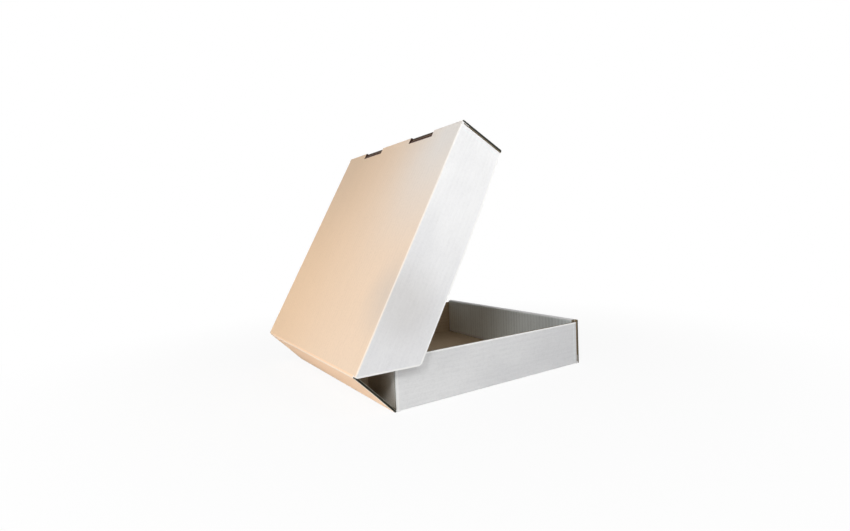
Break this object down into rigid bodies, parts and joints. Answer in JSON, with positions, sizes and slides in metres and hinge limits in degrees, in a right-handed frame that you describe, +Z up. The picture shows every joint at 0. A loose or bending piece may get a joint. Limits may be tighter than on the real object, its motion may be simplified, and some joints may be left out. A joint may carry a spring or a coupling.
{
  "type": "cake box",
  "caption": "Shallow square cake box of folded corrugated board, standing open: a tray with a rolled front wall, a leaning back panel, and a skirted lid creased to its top.",
  "frame": {"origin": "centre of the underside of the tray, between its front face and its back fold", "axes": "+Z up, +Y from the rolled front towards the back fold, +X across the box"},
  "size_m": [0.3202, 0.369, 0.3395],
  "materials": {
    "white_board": "uncoated white paper liner outside, brown kraft liner inside, raw fluted edges",
    "buff_board": "uncoated buff paper liner on the lid top and back panel, brown kraft liner inside"
  },
  "bodies": {
    "base_tray": {"base_tray": "white_board"},
    "back_panel": {"back_panel": "buff_board"},
    "lid": {"lid": "buff_board"}
  },
  "joints": [
    {"name": "back_fold", "type": "hinge", "parent": "base_tray", "child": "back_panel", "pos_m": [0, 0.1586, 0.0016], "axis": [-1, 0, 0], "range_deg": [-45, 45]},
    {"name": "lid_fold", "type": "hinge", "parent": "back_panel", "child": "lid", "pos_m": [0, 0.20725, 0.05025], "axis": [-1, 0, 0], "range_deg": [-16, 74]}
  ]
}
